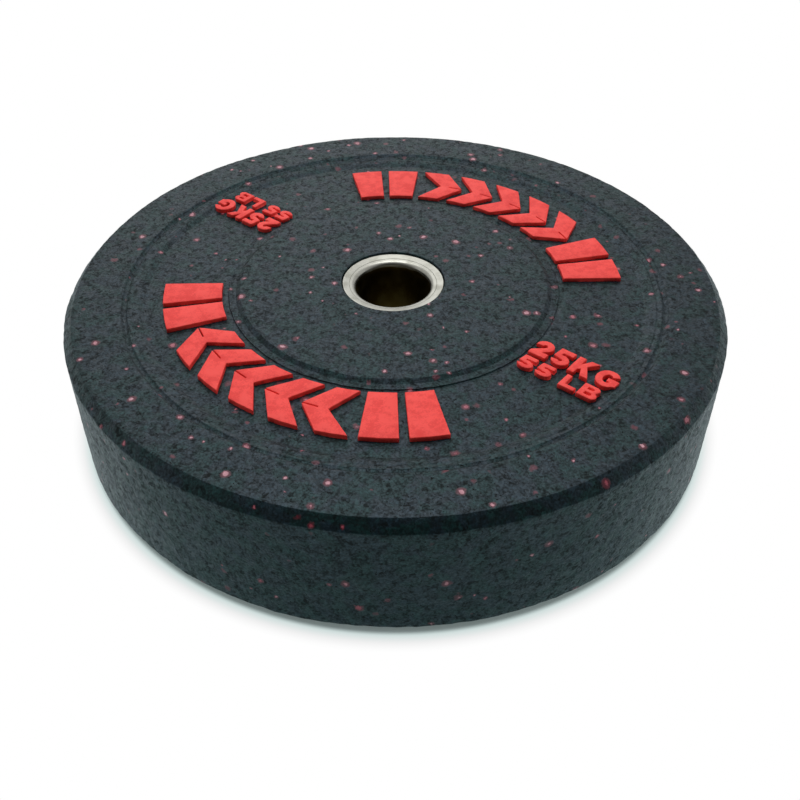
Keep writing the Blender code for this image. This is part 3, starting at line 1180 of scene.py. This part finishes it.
@dataclass
class AnchorDisc:
    """The perforated steel disc inside the rubber. Its node keeps its shape.

    Attributes:
        node: The node's name.
    """

    node: str = "anchor_disc"

    def build(self) -> None:
        """Dresses the node."""
        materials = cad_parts[self.node].data.materials
        materials.clear()
        materials.append(PlatedSteel().material())
        LOG.info("%s: dressed as it is", self.node)


# Stage


@dataclass
class Studio:
    """A white floor and a broad soft light from above and behind, in a room dark on the camera's side.

    Attributes:
        floor_size: The floor's width.
        floor_colour: Its reflectance.
        shadow_colour: Its reflectance close round the object, darker and greener: painted shade.
        shadow_tint: The colour that takes white's place there.
        front_tint: The colour that takes white's place where shiny things see the floor on the camera's side:
            a painted tint in their reflections.
        side_tint: The colour that takes its place beside the object and behind it.
        shadow_white: How much of plain white is mixed into the shadow under the object's edge.
        contact_fade: How much more is mixed in right outside the wall.
        shadow_reach: How far from the wall the floor has turned plain white.
        shadow_start: How far inside the wall it starts to.
        contact_start: How far inside the wall the contact fade starts.
        contact_end: How far outside the wall it ends.
        mirror_front: How much of plain white shiny things see in the floor on the camera's side, less than
            beside it: painted shade in their reflections.
        mirror_side: How much of it they see beside the object and behind it.
        mirror_turn: Where the one changes into the other, in plate radii along Y.
        front: The room's brightness on the camera's side.
        side: How much brighter it is at the sides and behind.
        window: How much brighter again it is in the middle of the window behind the object.
        side_turn: Where the room brightens from the one to the other, as the Y of a direction.
        window_place: The direction of that middle.
        window_edge: The window's edge and its fully bright part, as cosines of the angle from the middle.
        key_power: The overhead lamp's power, in watts.
        key_size: Its width.
        key_place: Its place.
    """

    floor_size: float = 12.0
    floor_colour: Colour = (0.86, 0.88, 0.875)
    shadow_colour: Colour = (0.66, 0.80, 0.79)
    shadow_tint: Colour = (0.84, 1.0, 0.98)
    front_tint: Colour = (0.62, 1.0, 1.0)
    side_tint: Colour = (0.85, 0.98, 1.0)
    shadow_white: float = 0.14
    contact_fade: float = 0.50
    shadow_reach: float = 13 * MM
    shadow_start: float = 2 * MM
    contact_start: float = 2.8 * MM
    contact_end: float = 1.2 * MM
    mirror_front: float = 0.39
    mirror_side: float = 1.0
    mirror_turn: Tuple[float, float] = (-1.25, -0.4)
    front: float = 0.02
    side: float = 0.67
    window: float = 1.05
    side_turn: Tuple[float, float] = (-0.85, 0)
    window_place: Tuple[float, float, float] = (-0.07, 0.827, 0.558)
    window_edge: Tuple[float, float] = (0.88, 0.996)
    key_power: float = 7.5
    key_size: float = 1.0
    key_place: Tuple[float, float, float] = (0.0, 0.25, 1.5)

    def build(self) -> None:
        """Makes the room, the floor and the lamp."""
        self.make_world()
        self.make_floor()
        self.make_key()

    def make_world(self) -> None:
        """The room: white to the camera, and a soft light that falls off towards the camera's side."""
        world = bpy.data.worlds.new("white_room")
        bpy.context.scene.world = world
        nodes = Nodes(world)
        direction = nodes.add("ShaderNodeTexCoord").outputs["Generated"]
        depth = nodes.axis(direction, "Y")
        product = {"operation": "DOT_PRODUCT"}
        vectors = {0: direction, 1: self.window_place}
        nearness = nodes.number("ShaderNodeVectorMath", "Value", product, vectors)
        lit = self.front + self.side * depth.rise(*self.side_turn)
        lit += self.window * nearness.rise(*self.window_edge)
        room = nodes.add("ShaderNodeBackground", {}, {"Color": (1, 1, 1, 1), "Strength": lit}).outputs[0]
        white = nodes.add("ShaderNodeBackground", {}, {"Color": (1, 1, 1, 1), "Strength": 1.0}).outputs[0]
        camera = nodes.add("ShaderNodeLightPath").outputs["Is Camera Ray"]
        nodes.add("ShaderNodeOutputWorld", {}, {"Surface": nodes.mixed(camera, room, white)})

    def make_floor(self) -> None:
        """The floor: plain white, but for the object's shadow close round it."""
        mesh = bpy.data.meshes.new("floor")
        shape = bmesh.new()
        bmesh.ops.create_grid(shape, x_segments=1, y_segments=1, size=self.floor_size / 2)
        shape.to_mesh(mesh)
        shape.free()
        floor = bpy.data.objects.new("floor", mesh)
        floor.location.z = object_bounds()[0].z
        bpy.context.scene.collection.objects.link(floor)
        mesh.materials.append(self.floor_material())
        floor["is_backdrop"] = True

    def floor_material(self) -> Material:
        """The floor's material, which shows white to the camera and in shiny things, but for the shadow."""
        material = bpy.data.materials.new("pale_floor")
        nodes = Nodes(material)
        rays = nodes.add("ShaderNodeLightPath")
        kinds = ("Is Camera Ray", "Is Glossy Ray", "Is Transmission Ray")
        camera, glossy, through = (Number(nodes, rays.outputs[kind]) for kind in kinds)
        distance = nodes.length(nodes.place())
        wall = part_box("rubber_body")[1].x
        # Painted shadow: towards the wall, the white fades out and the reflectance darkens over set
        # distances, on top of the real shadow in the diffuse part.
        contact = self.contact_fade * distance.rise(wall - self.contact_start, wall + self.contact_end)
        open_floor = distance.rise(wall - self.shadow_start, wall + self.shadow_reach)
        white_share = self.shadow_white + contact + (1 - self.shadow_white - self.contact_fade) * open_floor
        shown = camera * white_share
        # Painted shade in reflections: shiny things see less white, tinted teal, in the floor on the camera's
        # side.
        depth = nodes.axis(nodes.place(), "Y")
        beside = depth.rise(*(turn * wall for turn in self.mirror_turn))
        mirror = self.mirror_front + (self.mirror_side - self.mirror_front) * beside
        mirrored = glossy.larger(through) * mirror
        cleared = distance.rise(wall - self.shadow_start, wall + self.shadow_reach / 2)
        colour = nodes.blend(cleared, self.shadow_colour, self.floor_colour)
        paint = nodes.add("ShaderNodeBsdfDiffuse", {}, {"Color": colour}).outputs[0]
        reflected = nodes.blend(beside, self.front_tint, self.side_tint)
        glow = nodes.blend(camera, reflected, nodes.blend(cleared, self.shadow_tint, (1, 1, 1)))
        white = nodes.add("ShaderNodeEmission", {}, {"Color": glow}).outputs[0]
        nodes.finish(nodes.mixed(shown.larger(mirrored).socket, paint, white))
        return material

    def make_key(self) -> None:
        """The soft lamp overhead, turned to the plate."""
        lamp = bpy.data.lights.new("overhead_softbox", "AREA")
        lamp.shape = "SQUARE"
        lamp.size = self.key_size
        lamp.energy = self.key_power
        key = bpy.data.objects.new("overhead_softbox", lamp)
        key.location = self.key_place
        key.rotation_euler = Vector(self.key_place).to_track_quat("Z", "Y").to_euler()
        bpy.context.scene.collection.objects.link(key)


@dataclass
class Camera:
    """The camera, which looks along +Y and down at the plate.

    Attributes:
        place: Where it is.
        pitch: How far it looks down, in degrees.
        roll: How far it leans clockwise, in degrees.
        focal_pixels: Its focal length, in pixels of the picture.
        centre_pixel: Where the lens looks straight on, in pixels from the picture's upper left.
        picture: The picture's width and height, in pixels.
        sensor: The sensor's width, in millimetres.
    """

    place: Tuple[float, float, float] = (-16.03 * MM, -560.59 * MM, 478.34 * MM)
    pitch: float = 39.919
    roll: float = 1.005
    focal_pixels: float = 972.3
    centre_pixel: Tuple[float, float] = (371.65, 373.95)
    picture: float = 800.0
    sensor: float = 36.0

    def build(self) -> None:
        """Makes the camera and gives it to the scene."""
        data = bpy.data.cameras.new("camera")
        data.sensor_width = self.sensor
        data.lens = self.sensor * self.focal_pixels / self.picture
        data.shift_x = 0.5 - self.centre_pixel[0] / self.picture
        data.shift_y = self.centre_pixel[1] / self.picture - 0.5
        data.clip_start = 10 * MM
        camera = bpy.data.objects.new("camera", data)
        tilt = Matrix.Rotation(radians(90 - self.pitch), 4, "X")
        lean = Matrix.Rotation(radians(-self.roll), 4, "Z")
        camera.matrix_world = Matrix.Translation(self.place) @ tilt @ lean
        bpy.context.scene.collection.objects.link(camera)
        bpy.context.scene.camera = camera


def main() -> None:
    """Builds the plate, the stage and the camera."""
    logging.basicConfig(level=logging.INFO, format="%(name)s: %(message)s")
    for assembly in (RubberDisc(), Hub(), RedInserts(), AnchorDisc(), Studio(), Camera()):
        assembly.build()
    bpy.context.scene.view_settings.view_transform = "Standard"


if __name__ == "__main__":
    main()
